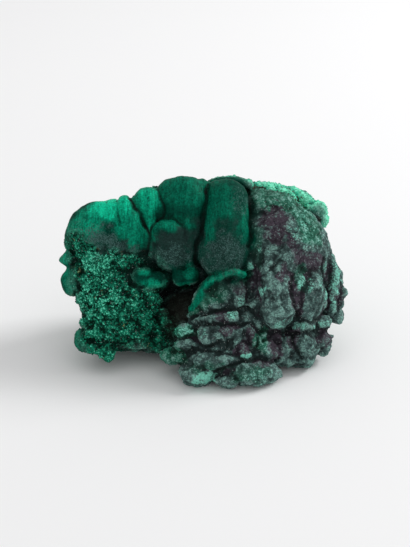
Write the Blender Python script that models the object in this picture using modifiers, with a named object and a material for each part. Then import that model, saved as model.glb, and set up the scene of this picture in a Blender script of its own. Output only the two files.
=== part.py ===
"""Botryoidal malachite specimen: one hand-sized stone of grown-together lobes, folds and broken ground.

The stone is a union of round growths. Those of the show face are placed in a face frame that leans
back from upright: across, up the face, and out of it. The body, the back and the underside are
placed upright: right, back and up. Places and radii are in millimetres, turns in degrees.
"""

import math
import random

import bmesh
import bpy
from mathutils import Matrix, Vector, noise
from mathutils.bvhtree import BVHTree

MM = 0.001

# Driving dimensions, in millimetres.
FACE_LEAN = math.radians(25)  # the show face leans back this far from upright
FACE_HEIGHT = 32.0  # height of the face frame's origin over the base
CELL = 0.9  # grid cell in which the growths are merged
SOFTEN = 2  # rounds of smoothing after the merge
TRIANGLES = 9500  # facets left before the base is cut
SLAB = 200.0  # side of the block that cuts the base flat
RUFFLES = ((6.0, 1.5), (2.6, 0.7))  # size and strength of the waves that make the rough growths uneven
RUFFLE_SHIFTS = ((0.3, 0.1, 0.7), (17.2, 4.6, 9.4), (5.8, 23.1, 12.5))  # sets the three axes' waves apart

UPRIGHT = Matrix.Identity(4)
FACE = Matrix.Translation((0, 0, FACE_HEIGHT)) @ Matrix.Rotation(math.pi / 2 - FACE_LEAN, 4, "X")


def clear_scene():
    for obj in list(bpy.data.objects):
        bpy.data.objects.remove(obj)


def ruffle(point):
    """How far the waves push a point, along each axis."""
    return Vector(
        sum(noise.noise(point / size + Vector(shift)) * high for size, high in RUFFLES)
        for shift in RUFFLE_SHIFTS
    )


def add_lobe(stone, place, radii, turn=0.0, frame=FACE, square=2.0, detail=3, ruffled=True):
    """One growth. A square over 2 flattens its six sides towards those of a block."""
    made = bmesh.ops.create_icosphere(stone, subdivisions=detail, radius=1.0)
    for vert in made["verts"]:
        vert.co /= sum(abs(c) ** square for c in vert.co) ** (1 / square)
    spin = Matrix.Rotation(math.radians(turn), 4, "Z")
    matrix = frame @ Matrix.Translation(place) @ spin @ Matrix.Diagonal((*radii, 1.0))
    bmesh.ops.transform(stone, matrix=matrix, verts=made["verts"])
    if ruffled:
        for vert in made["verts"]:
            vert.co += ruffle(vert.co)


def add_lobes(stone, lobes, frame=FACE, square=2.0, ruffled=True):
    for place, radii, turn in lobes:
        add_lobe(stone, place, radii, turn, frame, square, ruffled=ruffled)


def curve_points(path, step):
    """Points about step apart on a smooth curve through the path's points."""
    ends = [path[0] * 2 - path[1], *path, path[-1] * 2 - path[-2]]
    points = []
    for a, b, c, d in zip(ends, ends[1:], ends[2:], ends[3:]):
        count = max(1, round((c - b).length / step))
        for i in range(count):
            t = i / count
            bend = (2 * a - 5 * b + 4 * c - d) * t**2 + (3 * b - a - 3 * c + d) * t**3
            points.append(b + ((c - a) * t + bend) / 2)
    return [*points, path[-1]]


def add_fold(stone, path, thick, deep=None, ruffled=True):
    """A rounded fold along a path. Thick is its radius at each end, deep its radius out of the face."""
    points = curve_points([Vector(p) for p in path], min(thick) * 0.6)
    for i, point in enumerate(points):
        r = thick[0] + (thick[1] - thick[0]) * i / (len(points) - 1)
        add_lobe(stone, point, (r, r, deep or r), detail=2, ruffled=ruffled)


def add_body(stone):
    """The massive stone behind the show face, open in front at the hollow."""
    add_lobes(
        stone,
        [
            ((-29, 9, 36), (20, 15, 20), 0),
            ((0, 17, 33), (43, 13, 23), 0),
            ((-4, 9, 47), (32, 14, 14), 0),
            ((28, 5, 35), (21, 18, 24), 0),
            ((5, 3, 12), (29, 20, 14), 0),
            ((34, 4, 18), (13, 14, 12), 0),
            ((-15, 1, 8.5), (11, 12, 10), 0),
        ],
        UPRIGHT,
        ruffled=False,
    )


def add_crown(stone):
    """Satin lobes along the top of the show face, from left to right."""
    add_lobes(
        stone,
        [
            ((-40.2, 16.8, 3), (12.8, 10.6, 12.0), 20),
            ((-34.0, 16.6, 3), (9.0, 12.0, 12.0), 8),
            ((-28.2, 17.8, 6), (6.8, 11.9, 9.5), 12),
            ((-49.4, 15.0, 2), (3.9, 5.6, 5.0), -15),
            ((-21.4, 25.0, 4), (6.2, 7.7, 8.5), 8),
            ((-20.4, 16.0, 5), (4.6, 12.0, 8.0), 6),
            ((-7.6, 26.0, 4), (10.6, 11.2, 10.5), 0),
            ((-1.6, 26.6, 2), (6.0, 9.6, 8.0), 0),
            ((-13.4, 26.0, 3.5), (6.5, 9.8, 8.5), 0),
            ((-5.6, 16.0, 5), (6.4, 14.0, 9.5), 3),
            ((-12.0, 18.0, 4), (8.0, 9.0, 9.0), 0),
            ((-11.8, 10.4, 6), (8.6, 10.0, 9.5), 0),
            ((-6.4, 10.2, 5), (5.4, 9.6, 9.0), 0),
            ((-13.6, 15.2, 11.5), (6.8, 5.6, 5.0), 0),
            ((8.2, 25.0, 5), (9.2, 10.8, 10.5), 0),
            ((4.6, 25.2, 4.5), (5.0, 10.2, 9.5), 0),
            ((11.8, 24.5, 4.5), (5.6, 10.0, 9.5), 0),
            ((7.5, 16.0, 8.4), (9.3, 13.0, 11.0), -2),
            ((6.8, 8.4, 10), (9.6, 10.6, 10.5), 0),
            ((8.0, 20.5, 7), (9.4, 9.0, 10.8), 0),
            ((7.2, 12.0, 9.3), (9.5, 9.0, 10.9), 0),
            ((-39.5, 7.0, 1), (10.5, 7.0, 9.5), 0),
            ((-29.5, 6.0, 2.5), (8.5, 6.5, 8.5), 0),
        ],
        ruffled=False,
    )
    plate = [(2.6, 34.8, -7), (7.5, 35.4, -7), (13.0, 35.2, -7), (16.5, 33.4, -7)]
    add_fold(stone, plate, (2.0, 2.5), 6.0, ruffled=False)


def add_left_edge(stone):
    """Knobs that stand out along the left outline, from the top down."""
    add_lobes(
        stone,
        [
            ((-51.0, 11.6, 1), (2.6, 2.8, 3.6), 0),
            ((-51.8, 5.8, 1), (4.0, 3.1, 4.2), 0),
            ((-50.4, -2.8, 1), (4.7, 6.2, 5.5), -6),
            ((-47.0, -9.5, 2), (2.6, 3.4, 4.0), 0),
            ((-46.0, -25.2, 3), (3.3, 4.0, 4.2), -12),
            ((-42.5, -27.9, 4), (5.4, 2.6, 4.6), -25),
            ((-37.0, -29.9, 6), (3.5, 3.8, 3.8), 0),
        ],
    )


def add_broken_face(stone):
    """The rough broken ground at the left: two blocks with small lumps over their flat fronts."""
    add_lobe(stone, (-33.0, -2.0, -3), (14.6, 15.0, 12.0), 0, square=3.5)
    add_lobe(stone, (-32.0, -17.4, -3), (14.6, 12.2, 11.5), 0, square=3.5)
    add_lobe(stone, (-16.5, -22.4, -4), (10.0, 8.2, 9.0), 0, square=3.0)
    add_lobe(stone, (-46.0, 4.0, -2), (5.0, 9.0, 8.0))
    rng = random.Random(11)
    for _ in range(190):
        u, v = rng.uniform(-46, -10), rng.uniform(-27, 12)
        if u > -28 and v > -6 or u > -18 and v > -15:
            continue
        edge = max(abs(u + 31.5) / 16, abs(v + 9) / 20)
        r = rng.uniform(1.4, 2.4)
        w = max(8.0 - 5.0 * edge**5, 3.8) + rng.uniform(-0.9, 0.4)
        add_lobe(stone, (u, v, w), (r, r * rng.uniform(0.8, 1.1), r), rng.uniform(0, 180), detail=2)


def add_middle_knobs(stone):
    """Small knobs that hang under the crown, over the hollow."""
    add_lobes(
        stone,
        [
            ((-18.6, -2.4, 8), (4.3, 3.1, 4.6), 0),
            ((-24.2, -1.0, 8), (3.7, 3.3, 4.6), -10),
            ((-22.0, 0.6, 10), (2.1, 2.1, 2.6), 0),
            ((-9.4, -1.3, 8.5), (2.9, 3.5, 4.6), 0),
            ((-5.6, -0.7, 8.5), (3.3, 3.5, 4.6), 0),
        ],
        ruffled=False,
    )


def add_curtain(stone):
    """The folded mass at the bottom middle: a leaf under a thin rim, then fold below fold."""
    rim = [(-5.2, -13.2, 9), (-3.0, -10.5, 11), (-0.8, -6.6, 13.5), (1.5, -3.2, 15), (5.8, -1.0, 16)]
    rim += [(10.4, 0.6, 16.5), (14.2, -0.4, 15)]
    add_fold(stone, rim, (1.3, 1.4), 3.2, ruffled=False)
    add_lobes(
        stone,
        [
            ((4.2, -7.4, 9.5), (10.2, 6.4, 8.0), 38),
            ((6.4, -9.6, 12), (8.4, 5.2, 6.4), 30),
            ((11.9, -6.4, 12), (4.0, 6.4, 6.4), 0),
            ((13.0, -10.0, 15), (2.9, 2.5, 4.0), 0),
            ((8.0, -20.0, 8.3), (14.5, 11.0, 9.8), 0),
            ((6.0, -32.0, 8.8), (16.5, 8.6, 9.8), 0),
            ((-6.9, -21.5, 13), (3.9, 3.0, 4.2), 0),
            ((-6.6, -26.3, 13), (5.0, 1.8, 4.2), 0),
            ((0.1, -23.2, 16.0), (3.0, 4.2, 4.4), 0),
            ((6.2, -22.2, 14.5), (7.6, 4.7, 6.0), 0),
            ((6.0, -27.2, 14.5), (5.6, 3.6, 5.0), 0),
            ((14.0, -27.4, 15), (3.0, 2.8, 3.6), 0),
            ((14.8, -30.2, 16), (2.4, 1.5, 2.6), 0),
            ((20.8, -23.0, 10), (3.0, 3.2, 4.6), 0),
            ((22.4, -28.4, 11), (4.7, 4.3, 5.4), 0),
            ((-14.0, -30.6, 9), (2.5, 2.4, 3.4), 0),
            ((-11.0, -31.3, 9), (5.6, 3.2, 5.0), -15),
            ((-9.4, -31.2, 11), (3.9, 2.9, 4.6), 0),
            ((3.9, -31.8, 13.3), (11.0, 5.4, 7.2), 0),
            ((-3.0, -37.2, 13.8), (7.2, 4.2, 6.6), 0),
            ((16.4, -36.5, 13.2), (11.8, 5.3, 7.4), 0),
            ((8.6, -40.0, 15.5), (5.0, 2.6, 4.4), 0),
        ],
    )
    for path, thick in (
        ([(-5.0, -15.8, 10.5), (-0.8, -12.6, 12), (4.6, -9.6, 12.5), (9.8, -7.4, 12.5)], (1.8, 5.4)),
        ([(-5.2, -18.4, 11), (-1.8, -16.9, 14), (1.9, -15.9, 16), (6.4, -16.2, 17)], (1.8, 2.6)),
        ([(6.4, -16.4, 16.5), (9.4, -15.8, 17)], (2.8, 3.0)),
        ([(12.9, -21.2, 17), (12.2, -23.9, 18), (10.4, -26.2, 18), (9.2, -28.6, 17)], (1.5, 1.5)),
        ([(12.2, -19.0, 15), (15.2, -20.2, 15.5), (17.6, -23.4, 15), (18.2, -26.8, 14)], (2.4, 2.4)),
    ):
        add_fold(stone, path, thick)


def add_right_dome(stone):
    """The large velvet dome at the right, with upright folds down its outer side."""
    add_lobes(
        stone,
        [
            ((28.5, 15.0, 0), (12.0, 17.0, 13.0), 14),
            ((21.0, 23.5, -1), (6.0, 9.0, 10.0), 0),
            ((32.4, 8.0, 2), (11.2, 16.0, 12.5), 12),
            ((28.0, 5.0, 5), (10.5, 16.0, 12.5), 6),
            ((26.0, -5.0, 8), (9.0, 15.6, 12.0), 3),
            ((25.6, -12.6, 8.6), (8.4, 8.9, 10.6), 0),
            ((19.0, -3.0, 5), (6.0, 13.0, 9.0), 0),
            ((26.0, -24.0, 3), (7.0, 8.0, 8.0), 0),
            ((33.0, -5.0, 5.5), (6.5, 13.0, 10.5), 0),
            ((25.5, -10.5, 8.5), (9.0, 11.0, 11.5), 0),
            ((38.6, -8.2, 5.6), (7.4, 11.8, 8.8), 0),
            ((44.6, 6.6, -3), (4.9, 5.2, 7.0), 0),
            ((43.0, -2.0, -5), (7.5, 12.0, 8.0), 0),
            ((36.8, -19.6, 7), (5.2, 2.4, 5.0), 0),
            ((43.9, -18.8, 2), (4.0, 2.7, 4.6), 0),
            ((51.9, -7.4, -2), (2.6, 3.0, 3.2), 0),
            ((50.5, -16.4, -1), (2.9, 2.5, 3.2), 0),
        ],
    )
    add_fold(stone, [(43.6, 4.6, 4.5), (43.4, -2.6, 5), (43.8, -10.0, 4.5), (41.8, -16.2, 4)], (2.2, 2.2))
    add_fold(stone, [(47.6, 4.8, 1), (48.6, -2.6, 1), (48.0, -10.2, 1), (46.8, -16.4, 0)], (2.7, 2.5))
    add_fold(stone, [(47.2, 5.4, -4), (50.0, 0.4, -4), (50.9, -5.0, -4), (50.0, -12.0, -4)], (3.0, 3.2))
    for place, r in (
        ((16.9, 3.2, 11), 2.4),
        ((20.7, -7.2, 14), 2.0),
        ((17.4, -10.8, 14), 1.8),
        ((21.5, -11.4, 15), 1.8),
        ((17.6, -3.4, 11), 2.4),
    ):
        add_lobe(stone, place, (r, r * 1.15, r * 1.3), detail=2)


def add_right_feet(stone):
    """Lumps under the dome at the bottom right."""
    add_lobes(
        stone,
        [
            ((34.0, -25.5, 2), (11.0, 7.0, 8.2), 0),
            ((29.4, -27.6, 4), (5.2, 7.4, 8.0), 0),
            ((32.3, -32.4, 4), (2.7, 3.2, 4.4), 0),
            ((27.6, -32.0, 4), (2.6, 2.4, 4.4), 0),
            ((37.8, -26.2, 4), (4.9, 5.8, 7.5), 0),
            ((38.2, -32.2, 2), (4.7, 3.8, 5.6), 0),
            ((34.8, -33.8, 2), (2.4, 2.4, 4.0), 0),
            ((44.4, -24.8, 1), (3.7, 3.8, 5.0), 0),
            ((47.3, -24.2, -1), (1.8, 1.9, 2.4), 0),
            ((44.8, -28.8, -1), (3.2, 2.3, 4.0), 0),
            ((46.4, -27.0, -1), (2.2, 1.9, 2.4), 0),
        ],
    )


def add_back_rim(stone):
    """The broken rim that stands up behind the dome at the top right."""
    rim = [(15.5, 33.0, -9), (21.0, 33.4, -10), (26.0, 33.0, -10), (31.0, 31.6, -10)]
    rim += [(36.0, 30.6, -10), (40.6, 26.8, -9)]
    add_fold(stone, rim, (2.4, 2.9), 4.0, ruffled=False)
    rng = random.Random(3)
    for _ in range(26):
        u = rng.uniform(15, 41)
        v = 35.0 - 0.013 * (u - 15) ** 2 - rng.uniform(0.5, 5.5)
        r = rng.uniform(1.2, 2.2)
        place = (u, v, rng.uniform(-8, -5.5))
        add_lobe(stone, place, (r, r, r), rng.uniform(0, 90), square=3.5, detail=2, ruffled=False)
    add_lobe(stone, (43.2, 22.7, -8), (4.3, 5.0, 5.0), 10, square=3.5, ruffled=False)
    add_lobe(stone, (41.4, 18.4, -7), (2.4, 3.0, 4.0), ruffled=False)


def add_back(stone):
    """Broken ledges over the back and the flanks."""
    add_lobes(
        stone,
        [
            ((-34, 13, 41), (12, 11, 12), 8),
            ((-39, 9, 24), (10, 10, 12), -6),
            ((-20, 20, 50), (9, 9, 8), 20),
            ((-11, 22, 40), (12, 9, 11), -12),
            ((-25, 21, 29), (10, 9, 10), 14),
            ((-15, 23, 17), (12, 9, 10), -10),
            ((8, 21, 51), (12, 9, 9), 10),
            ((4, 24, 30), (11, 9, 11), 4),
            ((22, 19, 46), (12, 10, 11), -14),
            ((25, 21, 30), (10, 10, 12), 9),
            ((34, 12, 36), (9, 9, 9), 22),
            ((38, 8, 22), (9, 10, 11), 12),
            ((40, 9, 12), (8, 9, 8), -6),
            ((-32, 10, 13), (10, 11, 9), -18),
            ((3, 21, 10), (12, 9, 10.5), -6),
            ((20, 20, 13), (12, 9, 12), 12),
        ],
        UPRIGHT,
        square=2.8,
    )


def strew_lumps(stone):
    """Lumps strewn over the back and the flanks, each sunk into the surface that it sits on."""
    surface = BVHTree.FromBMesh(stone)
    rng = random.Random(7)
    for _ in range(130):
        angle = math.radians(rng.uniform(8, 172))
        outward = Vector((math.cos(angle), math.sin(angle), 0))
        far = Vector((0, 8, rng.uniform(3, 58))) + outward * 100
        spot = surface.ray_cast(far, -outward)[0]
        r = rng.uniform(2.0, 4.6)
        if spot and (FACE.inverted() @ spot).y < 22:
            shape = (r, r * rng.uniform(0.7, 1.1), r * rng.uniform(0.7, 1.1))
            sunk = spot - outward * r * 0.5
            add_lobe(stone, sunk, shape, math.degrees(angle), UPRIGHT, square=2.6, detail=2)


def growths():
    """All growths as one mesh of overlapping closed shells."""
    stone = bmesh.new()
    for add in (
        add_body,
        add_crown,
        add_left_edge,
        add_broken_face,
        add_middle_knobs,
        add_curtain,
        add_right_dome,
        add_right_feet,
        add_back_rim,
        add_back,
        strew_lumps,
    ):
        add(stone)
    bmesh.ops.scale(stone, vec=(MM, MM, MM), verts=stone.verts)
    mesh = bpy.data.meshes.new("malachite_specimen")
    stone.to_mesh(mesh)
    stone.free()
    return mesh


def baked(obj):
    """The object's mesh with its modifiers applied."""
    return bpy.data.meshes.new_from_object(obj.evaluated_get(bpy.context.evaluated_depsgraph_get()))


def add_stone():
    """The merged growths, centred over the origin and thinned to facets."""
    stone = bpy.data.objects.new("malachite_specimen", growths())
    parts = bpy.data.collections.new("malachite_specimen")
    bpy.context.scene.collection.children.link(parts)
    parts.objects.link(stone)
    merge = stone.modifiers.new("merge_growths", "REMESH")
    merge.mode = "VOXEL"
    merge.voxel_size = CELL * MM
    soften = stone.modifiers.new("soften", "SMOOTH")
    soften.iterations = SOFTEN
    stone.data = baked(stone)
    stone.modifiers.clear()
    corners = [Vector(corner) for corner in stone.bound_box]
    middle = sum(corners, Vector()) / len(corners)
    stone.data.transform(Matrix.Translation((-middle.x, -middle.y, 0)))
    facets = stone.modifiers.new("facets", "DECIMATE")
    facets.ratio = TRIANGLES / sum(len(face.vertices) - 2 for face in stone.data.polygons)
    return stone


def cut_base(stone):
    """The lowest growths end in one level, so that the stone rests on them."""
    cutters = bpy.data.collections.new("cutters")
    bpy.context.scene.collection.children.link(cutters)
    block = bmesh.new()
    bmesh.ops.create_cube(block, size=SLAB * MM, matrix=Matrix.Translation((0, 0, -SLAB / 2 * MM)))
    mesh = bpy.data.meshes.new("base_cutter")
    block.to_mesh(mesh)
    block.free()
    cutter = bpy.data.objects.new("base_cutter", mesh)
    cutter.hide_render = True
    cutter.display_type = "WIRE"
    cutters.objects.link(cutter)
    level = stone.modifiers.new("level_base", "BOOLEAN")
    level.operation = "DIFFERENCE"
    level.solver = "EXACT"
    level.object = cutter


def add_material(stone):
    material = bpy.data.materials.new("malachite")
    material.use_nodes = True
    shader = material.node_tree.nodes["Principled BSDF"]
    shader.inputs["Base Color"].default_value = (0.02, 0.16, 0.1, 1)
    shader.inputs["Roughness"].default_value = 0.7
    shader.inputs["Metallic"].default_value = 0.0
    stone.data.materials.clear()
    stone.data.materials.append(material)


def main():
    clear_scene()
    stone = add_stone()
    cut_base(stone)
    add_material(stone)


main()
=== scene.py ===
import math
import random

import bmesh
import bpy
import numpy as np
from mathutils import Matrix, Vector, noise
from mathutils.bvhtree import BVHTree


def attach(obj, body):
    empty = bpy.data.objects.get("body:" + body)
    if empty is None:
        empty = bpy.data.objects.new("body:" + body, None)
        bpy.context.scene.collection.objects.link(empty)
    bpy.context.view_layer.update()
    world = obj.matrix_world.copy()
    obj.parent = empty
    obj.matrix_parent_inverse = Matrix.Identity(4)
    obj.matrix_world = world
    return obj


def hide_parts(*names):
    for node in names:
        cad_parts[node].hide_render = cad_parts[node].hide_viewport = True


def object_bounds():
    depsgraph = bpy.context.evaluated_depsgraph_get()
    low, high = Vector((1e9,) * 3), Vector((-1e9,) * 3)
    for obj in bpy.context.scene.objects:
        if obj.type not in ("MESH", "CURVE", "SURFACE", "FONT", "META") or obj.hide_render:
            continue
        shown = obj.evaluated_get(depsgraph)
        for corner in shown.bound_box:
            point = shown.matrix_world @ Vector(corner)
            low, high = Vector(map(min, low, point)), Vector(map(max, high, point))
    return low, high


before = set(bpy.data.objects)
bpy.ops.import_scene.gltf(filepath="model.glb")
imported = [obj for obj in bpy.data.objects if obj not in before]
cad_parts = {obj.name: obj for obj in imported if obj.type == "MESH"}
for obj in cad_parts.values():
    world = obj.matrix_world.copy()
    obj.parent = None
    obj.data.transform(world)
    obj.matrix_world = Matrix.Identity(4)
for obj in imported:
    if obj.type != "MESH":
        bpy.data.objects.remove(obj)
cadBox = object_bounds()
print("frame loaded, box in mm:", [[round(c * 1000, 1) for c in corner] for corner in cadBox])

# Lengths below are in millimetres. Places on the show face are across, up and out of it;
# places marked upright are right, back and up.
mm = 0.001
faceLean = math.radians(25)  # the show face leans back this far
faceHeight = 32.0  # height of the face's middle over the base
upright = Matrix.Identity(4)
face = Matrix.Translation((0, 0, faceHeight)) @ Matrix.Rotation(math.pi / 2 - faceLean, 4, "X")

stone = {
    "cell": 0.5,  # grid on which the growths are merged
    "soften": 2,
    "triangles": 188000,
}

# Each growth is (middle, radii), and a turn in degrees where it has one.
massive = {  # upright, the stone behind the show face
    "left": ((-29, 9, 36), (20, 15, 20)),
    "behind": ((0, 17, 33), (43, 13, 23)),
    "top": ((-4, 9, 47), (32, 14, 14)),
    "right": ((28, 5, 35), (21, 18, 24)),
    "bottom": ((5, 3, 12), (29, 20, 14)),
    "bottomRight": ((34, 4, 18), (13, 14, 12)),
    "foot": ((-15, 1, 8.5), (11, 12, 10)),
}
crown = {
    "shoulder": ((-40.2, 16.8, 3), (12.8, 10.6, 12.0), 20),
    "shoulderMiddle": ((-34.0, 16.6, 3), (9.0, 12.0, 12.0), 8),
    "shoulderRight": ((-28.2, 17.8, 6), (6.8, 11.9, 9.5), 12),
    "shoulderEdge": ((-49.4, 15.0, 2), (3.9, 5.6, 5.0), -15),
    "wedgeTop": ((-21.4, 25.0, 4), (6.2, 7.7, 8.5), 8),
    "wedge": ((-20.4, 16.0, 5), (4.6, 12.0, 8.0), 6),
    "bigLobe": ((-7.6, 26.0, 4), (10.6, 11.2, 10.5)),
    "bigLobeRight": ((-1.6, 26.6, 2), (6.0, 9.6, 8.0)),
    "bigLobeLeft": ((-13.4, 26.0, 3.5), (6.5, 9.8, 8.5)),
    "bigLobeSide": ((-5.6, 16.0, 5), (6.4, 14.0, 9.5), 3),
    "bigLobeLow": ((-12.0, 18.0, 4), (8.0, 9.0, 9.0)),
    "darkLobe": ((-11.8, 10.4, 6), (8.6, 10.0, 9.5)),
    "darkLobeRight": ((-6.4, 10.2, 5), (5.4, 9.6, 9.0)),
    "darkLobeTop": ((-13.6, 15.2, 11.5), (6.8, 5.6, 5.0)),
    "columnTop": ((8.2, 25.0, 5), (9.2, 10.8, 10.5)),
    "columnTopLeft": ((4.6, 25.2, 4.5), (5.0, 10.2, 9.5)),
    "columnTopRight": ((11.8, 24.5, 4.5), (5.6, 10.0, 9.5)),
    "column": ((7.5, 16.0, 8.4), (9.3, 13.0, 11.0), -2),
    "columnLow": ((6.8, 8.4, 10), (9.6, 10.6, 10.5)),
    "columnUpper": ((8.0, 20.5, 7), (9.4, 9.0, 10.8)),
    "columnWaist": ((7.2, 12.0, 9.3), (9.5, 9.0, 10.9)),
    "shoulderFoot": ((-39.5, 7.0, 1), (10.5, 7.0, 9.5)),
    "shoulderFootRight": ((-29.5, 6.0, 2.5), (8.5, 6.5, 8.5)),
}
leftEdge = {
    "bead": ((-51.0, 11.6, 1), (2.6, 2.8, 3.6)),
    "point": ((-51.8, 5.8, 1), (4.0, 3.1, 4.2)),
    "ear": ((-50.4, -2.8, 1), (4.7, 6.2, 5.5), -6),
    "side": ((-47.0, -9.5, 2), (2.6, 3.4, 4.0)),
    "corner": ((-46.0, -25.2, 3), (3.3, 4.0, 4.2), -12),
    "cornerLedge": ((-42.5, -27.9, 4), (5.4, 2.6, 4.6), -25),
    "drop": ((-37.0, -29.9, 6), (3.5, 3.8, 3.8)),
}
hangingKnobs = {
    "leftRight": ((-18.6, -2.4, 8), (4.3, 3.1, 4.6)),
    "leftLeft": ((-24.2, -1.0, 8), (3.7, 3.3, 4.6), -10),
    "leftBead": ((-22.0, 0.6, 10), (2.1, 2.1, 2.6)),
    "rightLeft": ((-9.4, -1.3, 8.5), (2.9, 3.5, 4.6)),
    "rightRight": ((-5.6, -0.7, 8.5), (3.3, 3.5, 4.6)),
}
curtain = {
    "leafBack": ((4.2, -7.4, 9.5), (10.2, 6.4, 8.0), 38),
    "leafMiddle": ((6.4, -9.6, 12), (8.4, 5.2, 6.4), 30),
    "leafRight": ((11.9, -6.4, 12), (4.0, 6.4, 6.4)),
    "leafKnob": ((13.0, -10.0, 15), (2.9, 2.5, 4.0)),
    "behind": ((8.0, -20.0, 8.3), (14.5, 11.0, 9.8)),
    "behindLow": ((6.0, -32.0, 8.8), (16.5, 8.6, 9.8)),
    "pillow": ((-6.9, -21.5, 13), (3.9, 3.0, 4.2)),
    "slab": ((-6.6, -26.3, 13), (5.0, 1.8, 4.2)),
    "foldLeft": ((0.1, -23.2, 16.0), (3.0, 4.2, 4.4)),
    "foldMiddle": ((6.2, -22.2, 14.5), (7.6, 4.7, 6.0)),
    "foldLow": ((6.0, -27.2, 14.5), (5.6, 3.6, 5.0)),
    "plum": ((14.0, -27.4, 15), (3.0, 2.8, 3.6)),
    "plumLip": ((14.8, -30.2, 16), (2.4, 1.5, 2.6)),
    "ridge": ((20.8, -23.0, 10), (3.0, 3.2, 4.6)),
    "pad": ((22.4, -28.4, 11), (4.7, 4.3, 5.4)),
    "toe": ((-14.0, -30.6, 9), (2.5, 2.4, 3.4)),
    "toeRight": ((-11.0, -31.3, 9), (5.6, 3.2, 5.0), -15),
    "toeTop": ((-9.4, -31.2, 11), (3.9, 2.9, 4.6)),
    "apron": ((3.9, -31.8, 13.3), (11.0, 5.4, 7.2)),
    "apronLeft": ((-3.0, -37.2, 13.8), (7.2, 4.2, 6.6)),
    "apronRight": ((16.4, -36.5, 13.2), (11.8, 5.3, 7.4)),
    "apronTip": ((8.6, -40.0, 15.5), (5.0, 2.6, 4.4)),
}
dome = {
    "top": ((28.5, 15.0, 0), (12.0, 17.0, 13.0), 14),
    "topLeft": ((21.0, 23.5, -1), (6.0, 9.0, 10.0)),
    "right": ((32.4, 8.0, 2), (11.2, 16.0, 12.5), 12),
    "middle": ((28.0, 5.0, 5), (10.5, 16.0, 12.5), 6),
    "front": ((26.0, -5.0, 8), (9.0, 15.6, 12.0), 3),
    "frontLow": ((25.6, -12.6, 8.6), (8.4, 8.9, 10.6)),
    "leftFill": ((19.0, -3.0, 5), (6.0, 13.0, 9.0)),
    "underFill": ((26.0, -24.0, 3), (7.0, 8.0, 8.0)),
    "valleyFill": ((33.0, -5.0, 5.5), (6.5, 13.0, 10.5)),
    "frontFill": ((25.5, -10.5, 8.5), (9.0, 11.0, 11.5)),
    "side": ((38.6, -8.2, 5.6), (7.4, 11.8, 8.8)),
    "temple": ((44.6, 6.6, -3), (4.9, 5.2, 7.0)),
    "sideFill": ((43.0, -2.0, -5), (7.5, 12.0, 8.0)),
    "hem": ((36.8, -19.6, 7), (5.2, 2.4, 5.0)),
    "hemRight": ((43.9, -18.8, 2), (4.0, 2.7, 4.6)),
    "edgeBead": ((51.9, -7.4, -2), (2.6, 3.0, 3.2)),
    "edgeBeadLow": ((50.5, -16.4, -1), (2.9, 2.5, 3.2)),
}
domeBeads = {
    "mint": ((16.9, 3.2, 11), (2.4, 2.76, 3.12)),
    "upper": ((20.7, -7.2, 14), (2.0, 2.3, 2.6)),
    "left": ((17.4, -10.8, 14), (1.8, 2.07, 2.34)),
    "right": ((21.5, -11.4, 15), (1.8, 2.07, 2.34)),
    "middle": ((17.6, -3.4, 11), (2.4, 2.76, 3.12)),
}
feet = {
    "behind": ((34.0, -25.5, 2), (11.0, 7.0, 8.2)),
    "leftFoot": ((29.4, -27.6, 4), (5.2, 7.4, 8.0)),
    "leftToe": ((32.3, -32.4, 4), (2.7, 3.2, 4.4)),
    "leftToeSmall": ((27.6, -32.0, 4), (2.6, 2.4, 4.4)),
    "rightFoot": ((37.8, -26.2, 4), (4.9, 5.8, 7.5)),
    "rightToe": ((38.2, -32.2, 2), (4.7, 3.8, 5.6)),
    "rightToeSmall": ((34.8, -33.8, 2), (2.4, 2.4, 4.0)),
    "outer": ((44.4, -24.8, 1), (3.7, 3.8, 5.0)),
    "outerBead": ((47.3, -24.2, -1), (1.8, 1.9, 2.4)),
    "outerLow": ((44.8, -28.8, -1), (3.2, 2.3, 4.0)),
    "outerLowBead": ((46.4, -27.0, -1), (2.2, 1.9, 2.4)),
}
# Each fold is (path, radius at each end, radius out of the face).
folds = {
    "plate": ([(2.6, 34.8, -7), (7.5, 35.4, -7), (13.0, 35.2, -7), (16.5, 33.4, -7)],
        (2.0, 2.5), 6.0),
    "rim": ([(-5.2, -13.2, 9), (-3.0, -10.5, 11), (-0.8, -6.6, 13.5), (1.5, -3.2, 15),
        (5.8, -1.0, 16), (10.4, 0.6, 16.5), (14.2, -0.4, 15)], (1.3, 1.4), 3.2),
    "tongue": ([(-5.0, -15.8, 10.5), (-0.8, -12.6, 12), (4.6, -9.6, 12.5), (9.8, -7.4, 12.5)],
        (1.8, 5.4), None),
    "brow": ([(-5.2, -18.4, 11), (-1.8, -16.9, 14), (1.9, -15.9, 16), (6.4, -16.2, 17)],
        (1.8, 2.6), None),
    "browKnob": ([(6.4, -16.4, 16.5), (9.4, -15.8, 17)], (2.8, 3.0), None),
    "curl": ([(12.9, -21.2, 17), (12.2, -23.9, 18), (10.4, -26.2, 18), (9.2, -28.6, 17)],
        (1.5, 1.5), None),
    "arch": ([(12.2, -19.0, 15), (15.2, -20.2, 15.5), (17.6, -23.4, 15), (18.2, -26.8, 14)],
        (2.4, 2.4), None),
    "pleatInner": ([(43.6, 4.6, 4.5), (43.4, -2.6, 5), (43.8, -10.0, 4.5), (41.8, -16.2, 4)],
        (2.2, 2.2), None),
    "pleatMiddle": ([(47.6, 4.8, 1), (48.6, -2.6, 1), (48.0, -10.2, 1), (46.8, -16.4, 0)],
        (2.7, 2.5), None),
    "pleatOuter": ([(47.2, 5.4, -4), (50.0, 0.4, -4), (50.9, -5.0, -4), (50.0, -12.0, -4)],
        (3.0, 3.2), None),
    "backRim": ([(15.5, 33.0, -9), (21.0, 33.4, -10), (26.0, 33.0, -10), (31.0, 31.6, -10),
        (36.0, 30.6, -10), (40.6, 26.8, -9)], (2.4, 2.9), 4.0),
}
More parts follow.
